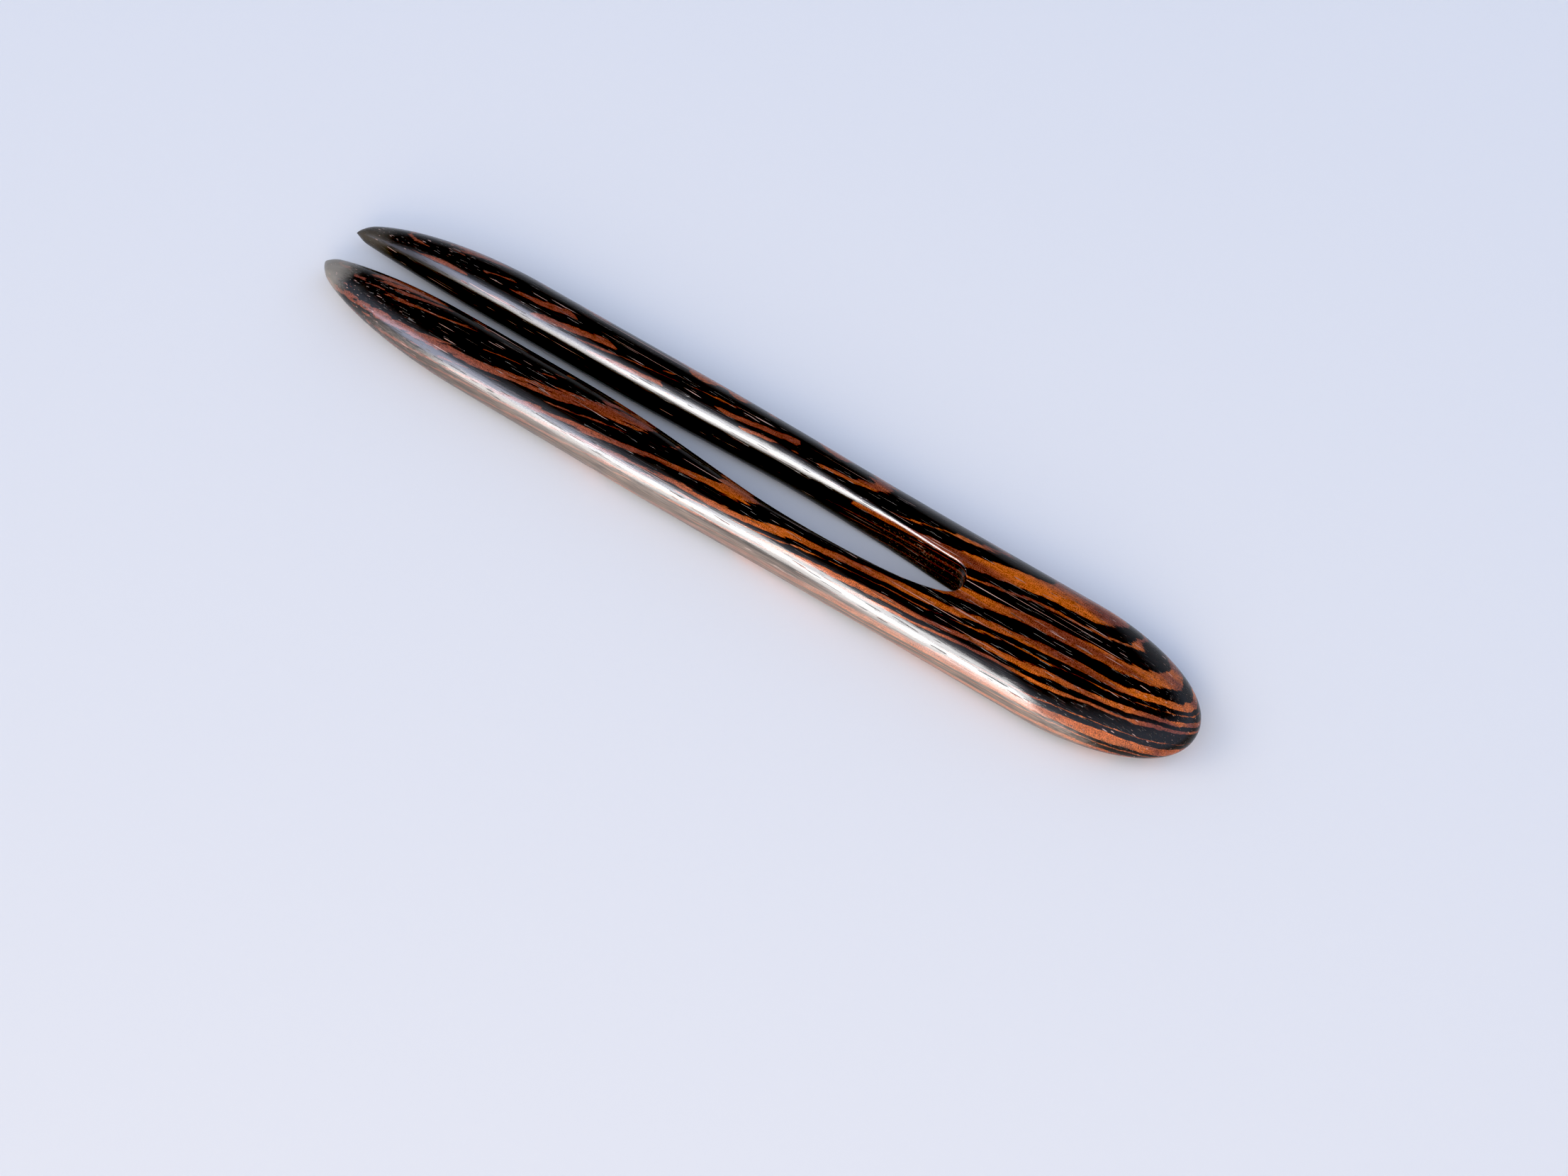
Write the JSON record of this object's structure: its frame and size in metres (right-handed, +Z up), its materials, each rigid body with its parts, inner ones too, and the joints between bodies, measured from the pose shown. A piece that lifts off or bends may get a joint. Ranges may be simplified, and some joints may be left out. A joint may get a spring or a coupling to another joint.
{
  "type": "hair fork",
  "caption": "Long two-tined hair fork in striped dark hardwood: rounded flat head, deep slot, springy tapered tines with blunt points.",
  "frame": {"origin": "on the surface the fork rests on, under the middle of its length and width", "axes": "+X from the points of the tines to the head, +Y across the tines, +Z up through the thickness"},
  "size_m": [0.15, 0.0218, 0.0078],
  "materials": {
    "wenge": "oiled to a gloss"
  },
  "bodies": {
    "head": {"head": "wenge"},
    "near_tine": {"near_tine": "wenge"},
    "far_tine": {"far_tine": "wenge"}
  },
  "joints": [
    {"name": "near_tine_flex", "type": "hinge", "parent": "head", "child": "near_tine", "pos_m": [0.039, -0.0067, 0.0039], "axis": [0, 0, 1], "range_deg": [-0.6, 1.2], "stiffness_Nm_per_rad": 150},
    {"name": "far_tine_flex", "type": "hinge", "parent": "head", "child": "far_tine", "pos_m": [0.039, 0.0067, 0.0039], "axis": [0, 0, -1], "range_deg": [-0.6, 1.2], "stiffness_Nm_per_rad": 95}
  ]
}
